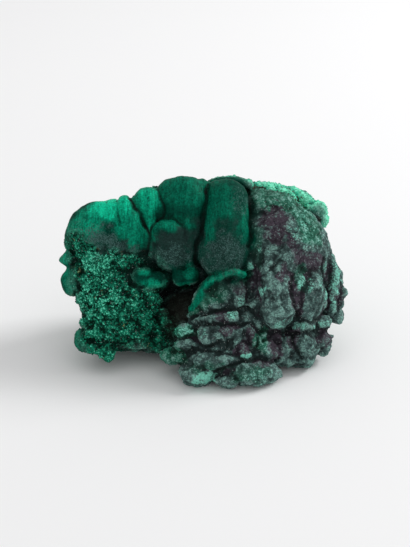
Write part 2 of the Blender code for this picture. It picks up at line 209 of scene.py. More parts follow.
# Blocks are growths with flattened sides: (middle, radii, turn, squareness).
groundBlocks = {
    "upper": ((-33.0, -2.0, -3), (14.6, 15.0, 12.0), 0, 3.5),
    "lower": ((-32.0, -17.4, -3), (14.6, 12.2, 11.5), 0, 3.5),
    "right": ((-16.5, -22.4, -4), (10.0, 8.2, 9.0), 0, 3.0),
    "left": ((-46.0, 4.0, -2), (5.0, 9.0, 8.0), 0, 2.0),
}
rimBlocks = {
    "end": ((43.2, 22.7, -8), (4.3, 5.0, 5.0), 10, 3.5),
    "underEnd": ((41.4, 18.4, -7), (2.4, 3.0, 4.0), 0, 2.0),
}
backBlocks = {  # upright
    "leftTop": ((-34, 13, 41), (12, 11, 12), 8, 2.8),
    "leftMiddle": ((-39, 9, 24), (10, 10, 12), -6, 2.8),
    "topLeft": ((-20, 20, 50), (9, 9, 8), 20, 2.8),
    "upperLeft": ((-11, 22, 40), (12, 9, 11), -12, 2.8),
    "middleLeft": ((-25, 21, 29), (10, 9, 10), 14, 2.8),
    "lowerLeft": ((-15, 23, 17), (12, 9, 10), -10, 2.8),
    "topMiddle": ((8, 21, 51), (12, 9, 9), 10, 2.8),
    "middle": ((4, 24, 30), (11, 9, 11), 4, 2.8),
    "upperRight": ((22, 19, 46), (12, 10, 11), -14, 2.8),
    "middleRight": ((25, 21, 30), (10, 10, 12), 9, 2.8),
    "rightTop": ((34, 12, 36), (9, 9, 9), 22, 2.8),
    "rightMiddle": ((38, 8, 22), (9, 10, 11), 12, 2.8),
    "rightLow": ((40, 9, 12), (8, 9, 8), -6, 2.8),
    "leftLow": ((-32, 10, 13), (10, 11, 9), -18, 2.8),
    "lowMiddle": ((3, 21, 10), (12, 9, 10.5), -6, 2.8),
    "lowRight": ((20, 20, 13), (12, 9, 12), 12, 2.8),
}

groundLumps = {  # small lumps over the broken face
    "seed": 11, "count": 190, "radius": (1.4, 2.4), "squeeze": (0.8, 1.1),
    "across": (-46, -10), "up": (-27, 12), "middle": (-31.5, -9), "reach": (16, 20),
    "clear": ((-28, -6), (-18, -15)),  # none further right and higher than these corners
    "out": 8.0, "edgeDrop": 5.0, "least": 3.8, "uneven": (-0.9, 0.4),
}
rimLumps = {  # angular lumps along the broken rim behind the dome
    "seed": 3, "count": 26, "radius": (1.2, 2.2), "square": 3.5,
    "across": (15, 41), "top": 35.0, "droop": 0.013, "down": (0.5, 5.5), "out": (-8, -5.5),
}
strewnLumps = {  # upright, over the ends and the back
    "seed": 7, "count": 130, "radius": (2.0, 4.6), "squeeze": (0.7, 1.1), "square": 2.6,
    "bearing": (8, 172), "middle": (0, 8), "height": (3, 58), "sunk": 0.5,
    "highest": 22,  # up the face, so that the crown stays smooth
}

ruffles = ((6.0, 1.5), (2.6, 0.7))  # size and strength of the waves in the rough growths
ruffleShifts = ((0.3, 0.1, 0.7), (17.2, 4.6, 9.4), (5.8, 23.1, 12.5))  # one for each axis


def ruffle(point):
    return Vector(
        sum(noise.noise(point / size + Vector(shift)) * high for size, high in ruffles)
        for shift in ruffleShifts
    )


def addLobe(bm, middle, radii, turn=0.0, place=face, square=2.0, detail=3, ruffled=True):
    made = bmesh.ops.create_icosphere(bm, subdivisions=detail, radius=1.0)
    for vert in made["verts"]:
        vert.co /= sum(abs(c) ** square for c in vert.co) ** (1 / square)
    spin = Matrix.Rotation(math.radians(turn), 4, "Z")
    matrix = place @ Matrix.Translation(middle) @ spin @ Matrix.Diagonal((*radii, 1.0))
    bmesh.ops.transform(bm, matrix=matrix, verts=made["verts"])
    if ruffled:
        for vert in made["verts"]:
            vert.co += ruffle(vert.co)


def curvePoints(path, step):
    ends = [path[0] * 2 - path[1], *path, path[-1] * 2 - path[-2]]
    points = []
    for a, b, c, d in zip(ends, ends[1:], ends[2:], ends[3:]):
        count = max(1, round((c - b).length / step))
        for i in range(count):
            t = i / count
            bend = (2 * a - 5 * b + 4 * c - d) * t**2 + (3 * b - a - 3 * c + d) * t**3
            points.append(b + ((c - a) * t + bend) / 2)
    return [*points, path[-1]]


foldStep = 0.6  # from one growth of a fold to the next, as a share of its smaller radius


def addFold(bm, path, thick, deep, ruffled):
    points = curvePoints([Vector(p) for p in path], min(thick) * foldStep)
    for i, point in enumerate(points):
        r = thick[0] + (thick[1] - thick[0]) * i / (len(points) - 1)
        addLobe(bm, point, (r, r, deep or r), detail=2, ruffled=ruffled)


def addGroundLumps(bm):
    rng = random.Random(groundLumps["seed"])
    middle, reach = groundLumps["middle"], groundLumps["reach"]
    for _ in range(groundLumps["count"]):
        u, v = rng.uniform(*groundLumps["across"]), rng.uniform(*groundLumps["up"])
        if any(u > across and v > up for across, up in groundLumps["clear"]):
            continue
        edge = max(abs(u - middle[0]) / reach[0], abs(v - middle[1]) / reach[1])
        r = rng.uniform(*groundLumps["radius"])
        w = max(groundLumps["out"] - groundLumps["edgeDrop"] * edge**5, groundLumps["least"])
        w += rng.uniform(*groundLumps["uneven"])
        radii = (r, r * rng.uniform(*groundLumps["squeeze"]), r)
        addLobe(bm, (u, v, w), radii, rng.uniform(0, 180), detail=2)


def addRimLumps(bm):
    rng = random.Random(rimLumps["seed"])
    start = rimLumps["across"][0]
    for _ in range(rimLumps["count"]):
        u = rng.uniform(*rimLumps["across"])
        v = rimLumps["top"] - rimLumps["droop"] * (u - start) ** 2 - rng.uniform(*rimLumps["down"])
        r = rng.uniform(*rimLumps["radius"])
        middle = (u, v, rng.uniform(*rimLumps["out"]))
        turn = rng.uniform(0, 90)
        addLobe(bm, middle, (r, r, r), turn, square=rimLumps["square"], detail=2, ruffled=False)


def strewLumps(bm):
    surface = BVHTree.FromBMesh(bm)
    rng = random.Random(strewnLumps["seed"])
    square, squeeze = strewnLumps["square"], strewnLumps["squeeze"]
    for _ in range(strewnLumps["count"]):
        angle = math.radians(rng.uniform(*strewnLumps["bearing"]))
        outward = Vector((math.cos(angle), math.sin(angle), 0))
        middle = Vector((*strewnLumps["middle"], rng.uniform(*strewnLumps["height"])))
        spot = surface.ray_cast(middle + outward * 100, -outward)[0]
        r = rng.uniform(*strewnLumps["radius"])
        if spot and (face.inverted() @ spot).y < strewnLumps["highest"]:
            shape = (r, r * rng.uniform(*squeeze), r * rng.uniform(*squeeze))
            spot -= outward * r * strewnLumps["sunk"]
            addLobe(bm, spot, shape, math.degrees(angle), upright, square, detail=2)


def growStone():
    bm = bmesh.new()
    for growth in massive.values():
        addLobe(bm, *growth, place=upright, ruffled=False)
    for growth in [*crown.values(), *hangingKnobs.values()]:
        addLobe(bm, *growth, detail=4, ruffled=False)
    for table in (leftEdge, curtain, dome, domeBeads, feet):
        for growth in table.values():
            addLobe(bm, *growth, detail=4)
    for name, (path, thick, deep) in folds.items():
        addFold(bm, path, thick, deep, ruffled=name not in ("plate", "rim", "backRim"))
    for middle, radii, turn, square in groundBlocks.values():
        addLobe(bm, middle, radii, turn, face, square, detail=4)
    for middle, radii, turn, square in rimBlocks.values():
        addLobe(bm, middle, radii, turn, face, square, detail=4, ruffled=False)
    addGroundLumps(bm)
    addRimLumps(bm)
    for middle, radii, turn, square in backBlocks.values():
        addLobe(bm, middle, radii, turn, upright, square)
    strewLumps(bm)
    mesh = bpy.data.meshes.new("growths")
    bm.to_mesh(mesh)
    bm.free()
    return mesh


def bake(obj):
    mesh = bpy.data.meshes.new_from_object(obj.evaluated_get(bpy.context.evaluated_depsgraph_get()))
    obj.modifiers.clear()
    obj.data = mesh
    return mesh


def readMesh(mesh):
    points = np.empty(len(mesh.vertices) * 3)
    normals = np.empty(len(mesh.vertices) * 3)
    edges = np.empty(len(mesh.edges) * 2, dtype=np.int32)
    mesh.vertices.foreach_get("co", points)
    mesh.vertex_normals.foreach_get("vector", normals)
    mesh.edges.foreach_get("vertices", edges)
    return points.reshape(-1, 3), normals.reshape(-1, 3), edges.reshape(-1, 2)


def relax(values, edges, rounds):
    counts = np.bincount(edges.ravel(), minlength=len(values)).reshape(-1, 1)
    for _ in range(rounds):
        total = np.zeros_like(values)
        for axis in range(values.shape[1]):
            total[:, axis] = np.bincount(edges[:, 0], values[edges[:, 1], axis], len(values))
            total[:, axis] += np.bincount(edges[:, 1], values[edges[:, 0], axis], len(values))
        values = total / counts
    return values


def reliefOf(points, normals, edges, rounds):
    # mm by which each point stands over the surface around it
    return ((points - relax(points, edges, rounds)) * normals).sum(axis=1)


def smoothRamp(values, low, high):
    t = np.clip((values - low) / (high - low), 0, 1)
    return t * t * (3 - 2 * t)


def noiseAt(points, size, seed=0.0):  # gentle waves from -1 to 1
    stretch = 1.6  # brings the noise's usual reach up to 1
    return np.array([noise.noise(Vector(p)) for p in (points / size + seed).tolist()]) * stretch


def nodulesAt(points, size, seed=0.0):  # bumps about size apart, from 0 in the creases to 1
    steepness, roundness = 1.6, 0.6
    near = [noise.voronoi(p)[0] for p in (points / size + seed).tolist()]
    first, second = np.array([d[0] for d in near]), np.array([d[1] for d in near])
    return np.clip((second - first) * steepness, 0, 1) ** roundness


# Soft spots on the show face: (across, up, radius across, radius up, strength), and a turn in
# degrees where it has one.
spots = {
    "satin": {
        "shoulder": (-38, 20, 20, 18, 1.0, 10),
        "shoulderEnd": (-28, 14, 8, 10, 1.0),
        "wedge": (-21, 20, 9, 21, 1.0),
        "bigLobe": (-8, 25, 15, 21, 1.0),
        "darkLobe": (-10, 9, 12, 10, 1.0),
        "column": (8, 18, 12, 27, 1.0),
        "knobLeft": (-21, -1.5, 9.5, 6, 1.0),
        "knobRight": (-7.5, -1, 7, 4.6, 1.0),
        "leftEar": (-51.5, -3.5, 5.5, 9, 1.0),
        "leftPoint": (-53, 6, 4.5, 5, 1.0),
        "corner": (-46.5, -25, 4.5, 6, 1.0),
    },
    # painted sheen: lights the tops and upper edges of the satin lobes, the knob lips and the left
    # edges, where light falls on them
    "paintedSheen": {
        "shoulderTop": (-35, 25.0, 11, 6.5, 1.0, 14),
        "shoulderSeam": (-32.2, 22, 2.2, 8, 0.45),
        "shoulderRight": (-29, 19, 6, 8, 0.42),
        "shoulderLow": (-26, 12, 4.5, 6, 0.34),
        "shoulderLeft": (-44, 18, 9, 7, 0.58, 35),
        "wedgeTop": (-21.5, 28, 6, 7.5, 0.66),
        "wedgeMiddle": (-21, 20, 4.5, 9, 0.36),
        "bigLobeTop": (-7, 32.0, 15, 9, 0.17),
        "bigLobeMiddle": (-10, 24, 10, 7, 0.04),
        "darkLobeArch": (-13.0, 18.6, 9.5, 3.4, 0.25, 2),
        "darkLobeSide": (-19.6, 13, 2.2, 6, 0.25),
        "columnTop": (5, 27, 8, 10, 0.15),
        "columnLeft": (1.6, 20, 3.0, 17, 0.16),
        "columnRight": (15.4, 17, 3.0, 11, 0.15),
        "columnMiddle": (8, 20, 8, 8, 0.01),
        "knobLeftLip": (-19.4, -4.2, 6.5, 2.4, 0.6),
        "knobLeftBead": (-22.3, 1, 2.8, 2.8, 0.6),
        "knobRightLip": (-7.4, -4.0, 6, 1.8, 0.24),
        "knobRightBead": (-5.4, 1.0, 2.6, 2.6, 0.24),
        "leftEar": (-52, -2.5, 4.0, 8, 0.28),
        "leftPoint": (-52.5, 6, 4.5, 5, 0.35),
        "corner": (-47.5, -24.5, 3.4, 5, 0.3),
    },
    "ground": {
        "main": (-32, -9.5, 21, 24, 1.4),
        "right": (-18, -21, 10, 11, 1.2),
        "left": (-45, 3, 6, 12, 1.2),
        "top": (-46, 11, 8, 9, 1.1),
        "bottomLeft": (-41, -25, 7, 8, 1.2),
        "drop": (-37, -29, 7, 6, 1.2),
    },
    # painted light: the broken face is lighter towards its top and left, where more light falls on
    # it, which also raises its pale grains
    "groundLight": {
        "top": (-39, 4, 10, 8, 1.1),
        "left": (-41, -8, 9, 14, 0.75),
        "middle": (-33, -12, 12, 12, 0.55),
        "low": (-37, -21, 9, 7, 0.4),
        "right": (-26, -8, 6, 9, 0.2),
    },
    "frost": {
        "darkLobe": (-11, 5.0, 12, 8.0, 0.9),
        "columnLow": (6.5, 6.5, 13, 12, 0.8),
        "shoulderFoot": (-30, 7.5, 9, 5, 1.0, 10),
        "shoulderFlank": (-46, 15, 7, 9, 0.7),
        "columnRight": (13, 27, 6, 8, 0.7),
        "shoulderMiddle": (-38, 12.5, 9, 6, 1.2),
        "wedgeFoot": (-17, 4, 6, 4, 0.9),
    },
    # painted shade: darkens the lower parts and feet of the lobes and the curtain's folds and apron
    "paintedShade": {  # where the satin darkens
        "shoulderLow": (-37, 14, 6, 4, 0.5, 10),
        "shoulderShade": (-31, 9.5, 7, 3.5, 0.9, 5),
        "shoulderFoot": (-25, 7, 5, 4, 0.5),
        "darkLobe": (-11, 9, 9, 9, 1.0),
        "bigLobeFoot": (-3.5, 15, 5, 9, 0.7),
        "columnLow": (7, 7, 12, 9, 0.75),
        "columnMiddle": (8, 15.5, 7, 7, 0.5),
        "wedgeFoot": (-18, 8, 4, 9, 0.8),
        "leaf": (6, -5.5, 8, 4, 0.9, 35),
        "folds": (6, -25, 12, 5, 0.4),
        "apron": (12, -34, 16, 7, 0.45),
    },
    "plum": {
        "domeUpper": (26, 18.5, 6.5, 10, 1.1),
        "domeUpperRight": (30, 12.5, 5, 5, 0.8, -20),
        "domeMiddle": (34.5, 7, 4, 6, 0.7, 20),
        "domeRight": (41, 5, 7, 4, 0.9, -10),
        "domeLow": (33.5, -8, 3.2, 10, 1.0, 10),
        "domeRightLow": (39, -3, 3, 5, 0.5),
        "domeLeft": (19, -3.5, 3, 7, 0.8),
        "domeFootLeft": (20, -13, 3, 5, 0.6),
        "leaf": (12.5, -5.5, 4, 3.4, 0.7),
        "brow": (7, -15.5, 5, 2, 0.8),
        "fold": (9, -20.5, 5, 3.0, 1.0),
        "ear": (17, -22.5, 3, 4.5, 0.9, 20),
        "plum": (14, -27.6, 3.6, 3.2, 1.2),
        "footLeft": (26.5, -27, 4, 7, 1.0),
        "footRight": (33.5, -24, 3, 6, 0.9),
        "footEdge": (46, -24, 5, 4, 0.8),
        "edge": (51, -8, 4, 5, 0.6),
        "apron": (20.5, -33.5, 5, 2.0, 0.6),
        "apronLeft": (-8, -37, 4, 3, 0.4),
        "shoulderEdge": (-49, 17, 3, 4, 0.5),
        "domeSpine": (29, 1, 2.5, 8, 0.6, -15),
        "pleats": (45.5, 2, 2.5, 6, 0.5, 10),
        "pleatsLow": (46, -13, 2.5, 5, 0.5),
        "slab": (-4, -24.5, 5, 1.4, 0.6),
        "apronSeam": (7, -36, 9, 1.4, 0.6),
    },
    "moss": {
        "domeTop": (28, 29, 15, 8, 1.0, -8),
        "domeRight": (38, 19, 6, 13, 0.9, 28),
        "domeMiddle": (36, -2, 5, 9, 0.5),
        "domeLeft": (20, 10, 3.5, 12, 0.5),
        "leaf": (3, -7, 9, 6, 0.9, 35),
        "pillow": (-7, -22, 5, 4, 0.7),
        "toe": (-12, -30.8, 7, 4, 1.0),
        "ear": (21, -25, 4, 7, 0.7),
        "apron": (2, -35, 12, 4, 0.5),
        "apronRight": (17, -37, 12, 5, 0.5),
        "leftEdge": (-49, 12, 6, 8, 1.0),
        "back": (8, 36, 14, 6, 0.7),
    },
    "mint": {
        "pillow": (-7.1, -21.5, 4.4, 3.6, 0.6),
        "toe": (-14.5, -30.0, 3, 3.0, 0.15),
        "foldLeft": (0.0, -22, 2.4, 3.0, 0.3),
        "browTip": (9.6, -15.4, 3.0, 2.4, 0.5),
        "leafKnob": (13.2, -10, 3.2, 2.8, 0.3),
        "plumLip": (15, -30, 3.4, 1.8, 0.8),
        "apronLip": (1, -38, 6.5, 2.6, 1.3, 10),
        "apronRight": (20, -38, 8, 3, 0.3),
        "domeUpperLeft": (20, 9, 3.6, 5, 0.5),
        "domeTop": (34, 24, 9, 5, 0.35, -30),
        "domeRight": (37.5, -4, 4, 6, 0.6),
        "domeShoulder": (37, 16, 7, 8, 0.4, -30),
        "bead": (17.2, 2, 3.2, 3.2, 0.7),
        "beadUpper": (20.8, -7, 2.4, 2.8, 0.6),
        "pleats": (48, -4, 6, 13, 0.52),
        "domeHem": (32, -19, 10, 2.6, 0.45),
        "hem": (44, -19, 6, 3, 0.4),
    },
    # painted shade: the deep hollow behind the leaf is coloured near-black
    "hollow": {
        "deep": (-8.6, -11, 9, 9.5, 1.4),
        "low": (-11, -19, 6.5, 7, 0.8),
        "behindLeaf": (-2.5, -9, 5, 7, 1.0),
    },
    "ridge": {
        "rim": (27, 31.8, 15.5, 4.6, 1.4, -10),
        "rimRight": (37, 28, 7, 5, 1.3, -30),
        "end": (43.5, 22, 6.5, 8, 1.5),
        "plate": (10, 35.4, 10, 2.8, 0.9),
    },
}

# Narrow creases on the show face, pressed in and painted dark as shade: (path across and up, half
# width, strength).
seams = {
    "shoulderWedge": ([(-28.3, 28.8), (-26.9, 26.2), (-25.0, 23.0), (-23.2, 19.7), (-21.5, 16.4),
        (-20.6, 13.6), (-21.1, 9.9), (-22.2, 7.1)], 1.3, 1.0),
    "wedgeBigLobe": ([(-18.0, 31.4), (-16.6, 28.1), (-15.3, 24.4), (-15.5, 21.8), (-18.0, 19.2),
        (-19.9, 16.9), (-20.4, 13.6)], 1.2, 0.9),
    "darkLobeArch": ([(-19.9, 16.9), (-17.6, 19.8), (-14.8, 20.7), (-11.5, 20.3), (-8.9, 18.1)],
        1.0, 0.7),
    "bigLobeColumn": ([(0.9, 33.7), (0.4, 29.5), (0.0, 25.3), (-0.7, 21.6), (-1.0, 17.8),
        (-1.7, 14.6), (-3.1, 11.3), (-3.6, 7.6), (-3.3, 3.8)], 1.3, 1.0),
    "columnDome": ([(16.3, 31.8), (16.8, 27.6), (17.2, 23.0), (16.8, 18.3), (17.2, 13.6),
        (16.1, 9.9)], 1.2, 0.9),
    "shoulderCrack": ([(-33.0, 28.6), (-32.6, 24.8), (-32.1, 21.6), (-31.3, 18.3)], 0.9, 0.5),
    "domeCrease": ([(32.2, -1.5), (31.8, -5.2), (32.5, -9.0), (33.6, -13.2), (34.6, -16.4)],
        1.3, 0.8),
    "pleatCrease": ([(45.3, 5.5), (44.1, 1.3), (45.3, -2.4), (44.4, -7.1), (43.0, -11.8),
        (41.1, -17.4)], 1.1, 0.7),
    "tongueFoot": ([(-6.3, -16.7), (-0.9, -15.3), (4.6, -13.6), (11.1, -13.0)], 1.0, 0.75),
    "tongueEnd": ([(15.5, -3.8), (15.7, -8.0), (14.2, -11.7), (11.1, -13.0)], 1.0, 0.75),
    "browFoot": ([(-3.5, -19.2), (2.8, -18.5), (7.4, -18.5), (11.6, -18.9)], 1.0, 0.75),
    "foldLeft": ([(-3.5, -19.2), (-3.2, -22.8), (-2.1, -25.9), (1.9, -26.6), (5.1, -25.2)],
        1.0, 0.75),
    "archInner": ([(5.1, -21.0), (7.2, -23.3), (8.4, -25.6), (7.0, -28.6)], 0.9, 0.6),
    "archOuter": ([(12.1, -19.1), (16.7, -18.3), (19.0, -21.0), (19.9, -25.6), (18.6, -27.7)],
        1.0, 0.75),
    "plumTop": ([(11.1, -26.8), (13.5, -25.2), (17.2, -25.9)], 0.9, 0.6),
    "apronTop": ([(-6.5, -29.6), (-0.9, -27.8), (4.6, -28.9), (10.4, -29.8)], 0.9, 0.55),
    "apronMiddle": ([(3.7, -36.1), (8.4, -34.2), (13.0, -32.4), (18.6, -31.9), (22.7, -32.2)],
        1.0, 0.75),
    "domeFoot": ([(17.6, -18.2), (20.4, -21.1), (26.0, -22.0), (33.4, -22.2), (40.8, -21.0)],
        1.1, 0.75),
    "feet": ([(33.0, -22.8), (33.4, -26.5), (35.7, -31.2)], 1.1, 0.7),
}
follow = 0.3  # share of the zones' wandering that the creases and knobs take part in
seamUneven = (0.8, 0.2)  # strength of the creases, and how far it varies
seamCore = 0.1  # share of a crease's half width at which it is full
pathStep = 0.6  # mm from one point of a path to the next where distances are measured
farAway = 99.0
leafRim = {"wide": 2.6, "full": 1.1, "taper": (-6, -13, 1.4), "washWide": 5.5, "glow": 0.36}
knobs = {  # smooth knobs that keep their own outline
    "left": (-21, -1.6, 9.5, 5.2, 1.0),
    "right": (-7.5, -1.2, 7, 4.6, 1.0),
}
# How far out of the face each zone fades in: (none, full).
depths = {
    "front": (-7, -1),
    "over": (-17, -9),
    "seam": (-6, 0),
    "rim": (5, 8),
    "hollow": (9.5, 4.5),
    "ridge": (-2.5, -5),
    "ridgeBehind": (-24, -16),
    "back": (-5, -12),
}
# How the zones' edges wander: (size of the waves, mm to each side, seeds).
wanderings = {"wide": (4.0, 1.3, (3.1, 8.7)), "ragged": (1.7, 1.2, (5.5, 6.6))}
spotEdge = (1.1, 0.45)  # shares of a spot's radius at which it begins and is full
spotLimit = 1.4
raggedWander = 1.8  # how much further the edges of frost and dusk wander
satinSpread = 2.2  # carries the satin to the rims of its lobes
satinFoot = {"up": (4, 12), "wander": 1.6, "leftOf": -38, "span": 10, "slope": 0.8}
satinKeeps = (0.3, 0.8)  # amounts of satin over which the broken ground gives way


def spotMask(uvw, table, wander):
    total = np.zeros(len(uvw))
    for across, up, wide, tall, strength, *turn in table.values():
        a = math.radians(sum(turn))
        du, dv = uvw[:, 0] + wander[:, 0] - across, uvw[:, 1] + wander[:, 1] - up
        x = (du * math.cos(a) + dv * math.sin(a)) / wide
        y = (dv * math.cos(a) - du * math.sin(a)) / tall
        total = np.maximum(total, strength * smoothRamp(np.hypot(x, y), *spotEdge))
    return total


def lineGap(uvw, path):  # mm across the face to a path
    gap = np.full(len(uvw), farAway)
    for point in curvePoints([Vector(p[:2]) for p in path], pathStep):
        gap = np.minimum(gap, np.hypot(uvw[:, 0] - point.x, uvw[:, 1] - point.y))
    return gap


def fadeIn(uvw, name):
    return smoothRamp(uvw[:, 2], *depths[name])


def rimMask(uvw, wide):  # the thin bright edge of the leaf, narrower towards its foot
    start, end, narrower = leafRim["taper"]
    width = wide - narrower * smoothRamp(uvw[:, 1], start, end)
    return smoothRamp(lineGap(uvw, folds["rim"][0]), width, leafRim["full"]) * fadeIn(uvw, "rim")


def seamMask(uvw, wander):
    moved = uvw[:, :2] + wander * follow
    total = np.zeros(len(uvw))
    for path, width, strength in seams.values():
        near = smoothRamp(lineGap(moved, path), width, width * seamCore)
        total = np.maximum(total, strength * near)
    usual, varies = seamUneven
    return total * fadeIn(uvw, "seam") * (usual + varies * np.clip(wander[:, 0], -1, 1))


def toFace(points):
    back = np.array(face.inverted())
    return points @ back[:3, :3].T + back[:3, 3]


def wanderAt(points, name):
    size, far, seeds = wanderings[name]
    return np.stack([noiseAt(points, size, seed) for seed in seeds], axis=1) * far


def stoneMasks(points):
    uvw = toFace(points)
    wander = wanderAt(points, "wide")
    ragged = wander * raggedWander + wanderAt(points, "ragged")
    apart = 1 - spotMask(uvw, knobs, wander * follow)
    front, over = fadeIn(uvw, "front"), fadeIn(uvw, "over")
    masks = {}
    for name, table in spots.items():
        edges = ragged if name in ("frost", "paintedShade") else wander
        masks[name] = np.clip(spotMask(uvw, table, edges), 0, spotLimit)
    masks["satin"] = np.clip(masks["satin"] * satinSpread, 0, 1)
    masks["frost"] *= apart
    masks["paintedShade"] *= apart
    for name in ("satin", "paintedSheen", "moss"):
        masks[name] *= over
    for name in ("groundLight", "frost", "paintedShade", "plum", "mint"):
        masks[name] *= front
    left = np.clip(satinFoot["leftOf"] - uvw[:, 0], 0, satinFoot["span"]) * satinFoot["slope"]
    height = uvw[:, 1] + wander[:, 0] * satinFoot["wander"] - left
    kept = smoothRamp(masks["satin"] * smoothRamp(height, *satinFoot["up"]), *satinKeeps)
    masks["ground"] = np.clip(masks["ground"] * front, 0, 1) * apart * (1 - kept)
    masks["satin"] *= 1 - masks["ground"]
    masks["seam"] = seamMask(uvw, wander)
    rim = rimMask(uvw, leafRim["wide"])
    masks["satin"] = np.maximum(masks["satin"], rim)
    # painted sheen along the thin edge of the leaf
    masks["paintedSheen"] = np.maximum(masks["paintedSheen"] * (1 - rim), rim * leafRim["glow"])
    masks["moss"] = np.maximum(masks["moss"], rimMask(uvw, leafRim["washWide"]))
    masks["hollow"] = np.clip(masks["hollow"] * fadeIn(uvw, "hollow") * front, 0, 1)
    ridge = masks["ridge"] * fadeIn(uvw, "ridge") * fadeIn(uvw, "ridgeBehind")
    masks["ridge"] = np.clip(ridge, 0, 1)
    masks["back"] = fadeIn(uvw, "back") * (1 - masks["ridge"])
    return masks


hollowGrains = 0.6  # grains in the hollow, as a share of those on the broken face


def zoneWeights(masks, zone):
    if zone == "velvet":
        rest = masks["satin"] + masks["ground"] + masks["back"] + masks["ridge"]
        return np.clip(1 - rest, 0, 1) * (1 - masks["hollow"])
    if zone == "ground":
        return np.maximum(masks["ground"], masks["hollow"] * hollowGrains)
    return masks[zone]


waves = {  # on each kind of ground: (size, height in mm, seed)
    "satin": (5.5, 0.30, 0.0),
    "strands": (1.5, 0.13, 4.0),
    "ground": (3.4, 0.35, 9.0),
}
nodules = {  # (size, height in mm, seed, share of the height that lies below the surface)
    "dome": (4.6, 0.55, 0.0, 0.6),
    "velvet": (1.6, 0.34, 5.0, 0.6),
    "ground": (1.3, 0.62, 2.0, 0.55),
    "back": (4.2, 1.1, 4.0, 0.6),
    "backPits": (1.8, 0.5, 6.0, 0.6),
}
strandStretch = np.array([1.0, 0.16, 0.16])
bent = {"size": 5.0, "far": 1.3, "seeds": (1.0, 12.0, 23.0)}  # bends the dome's nodules
frostBumps = 0.35  # share of the velvet's nodules that shows on frosted satin
ridgePits = 0.6
seamDepth = 0.9
softened = {"satin": 0.3, "ground": 0.7, "rounds": 20}  # shares of the way to a smooth surface
filled = {"share": 0.5, "rounds": 80, "sunk": (0.2, 1.2)}  # the same for the velvet's creases


def softenForms(points, normals, edges):
    # The satin lobes flow together, and creases and broken ground get shallower.
    masks = stoneMasks(points)
    uvw = toFace(points)
    still = np.zeros((len(uvw), 2))
    apart = np.maximum(spotMask(uvw, knobs, still), rimMask(uvw, leafRim["wide"]))
    smooth = relax(points, edges, softened["rounds"])
    share = masks["satin"] * softened["satin"] * (1 - apart)
    share = np.maximum(share, masks["ground"] * softened["ground"])
    level = relax(points, edges, filled["rounds"])
    sunk = smoothRamp(((level - points) * normals).sum(axis=1), *filled["sunk"])
    fill = zoneWeights(masks, "velvet") * sunk * (1 - apart) * filled["share"]
    return points + (smooth - points) * share[:, None] + (level - points) * fill[:, None]


def wavesOf(points, name):
    size, height, seed = waves[name]
    return noiseAt(points, size, seed) * height


def nodulesOf(points, name):
    size, height, seed, level = nodules[name]
    return (nodulesAt(points, size, seed) - level) * height


def shapeSurface(points, normals):
    masks = stoneMasks(points)
    satin, ground = masks["satin"], masks["ground"]
    back, ridge = masks["back"], masks["ridge"]
    velvet = np.clip(1 - satin - ground - back - ridge, 0, 1)
    swell = wavesOf(points, "satin") + wavesOf(points * strandStretch, "strands")
    pushed = np.stack([noiseAt(points, bent["size"], seed) for seed in bent["seeds"]], axis=1)
    big = nodulesOf(points + pushed * bent["far"], "dome")
    small = nodulesOf(points, "velvet")
    pits = nodulesOf(points, "ground") + wavesOf(points, "ground")
    blocks = nodulesOf(points, "back") + nodulesOf(points, "backPits")
    rough = np.maximum(ground, ridge * ridgePits)
    height = swell * satin + (big + small) * velvet + pits * rough
    height += blocks * back * (1 - ground)
    height += small * frostBumps * masks["frost"] - seamDepth * masks["seam"]
    return points + normals * height[:, None]


def stoneMesh():
    obj = bpy.data.objects.new("malachiteStone", growStone())
    bpy.context.scene.collection.objects.link(obj)
    merge = obj.modifiers.new("mergeGrowths", "REMESH")
    merge.mode = "VOXEL"
    merge.voxel_size = stone["cell"]
    soften = obj.modifiers.new("soften", "SMOOTH")
    soften.iterations = stone["soften"]
    mesh = bake(obj)
    points, normals, edges = readMesh(mesh)
    centre = (points.max(axis=0) + points.min(axis=0)) / 2
    points = softenForms(points, normals, edges)
    points = shapeSurface(points, normals)
    points[:, 2] = np.maximum(points[:, 2], 0)  # the lowest growths end in one level
    mesh.vertices.foreach_set("co", points.ravel())
    mesh.update()
    thin = obj.modifiers.new("thin", "DECIMATE")
    thin.ratio = min(1, stone["triangles"] / sum(len(p.vertices) - 2 for p in mesh.polygons))
    mesh = bake(obj)
    print("stone:", len(mesh.polygons), "faces")
    return obj, mesh, centre


def writeAttributes(mesh, values):
    for name, numbers in values.items():
        attribute = mesh.attributes.new(name, "FLOAT", "POINT")
        attribute.data.foreach_set("value", np.asarray(numbers, dtype=np.float32))


# Grains are joined into one mesh for each kind.
grains = {
    "brokenFaceGrains": {
        "zone": "ground", "count": 8200, "radius": (0.18, 0.50),
        "sunk": 0.25, "rough": 0.36, "seed": 21,
    },
    "velvetTufts": {
        "zone": "velvet", "count": 9800, "radius": (0.13, 0.36),
        "sunk": 0.45, "rough": 0.26, "seed": 22,
    },
    "frostCrystals": {
        "zone": "frost", "count": 8000, "radius": (0.07, 0.13),
        "sunk": 0.25, "rough": 0.2, "seed": 23,
    },
    "ridgeCrystals": {
        "zone": "ridge", "count": 2600, "radius": (0.18, 0.62),
        "sunk": 0.2, "rough": 0.32, "seed": 24,
    },
    "backGrains": {
        "zone": "back", "count": 6500, "radius": (0.35, 1.1),
        "sunk": 0.25, "rough": 0.3, "seed": 25,
    },
}
grainStretch = (0.75, 1.25)
smallShare = 2.2  # the higher, the fewer large grains
grainClear = 0.6  # mm over the floor below which there are none
grainFloor = 0.05


def grainBall():
    template = bmesh.new()
    bmesh.ops.create_icosphere(template, subdivisions=1, radius=1.0)
    ball = np.array([v.co for v in template.verts])
    faces = np.array([[v.index for v in f.verts] for f in template.faces])
    template.free()
    return ball, faces


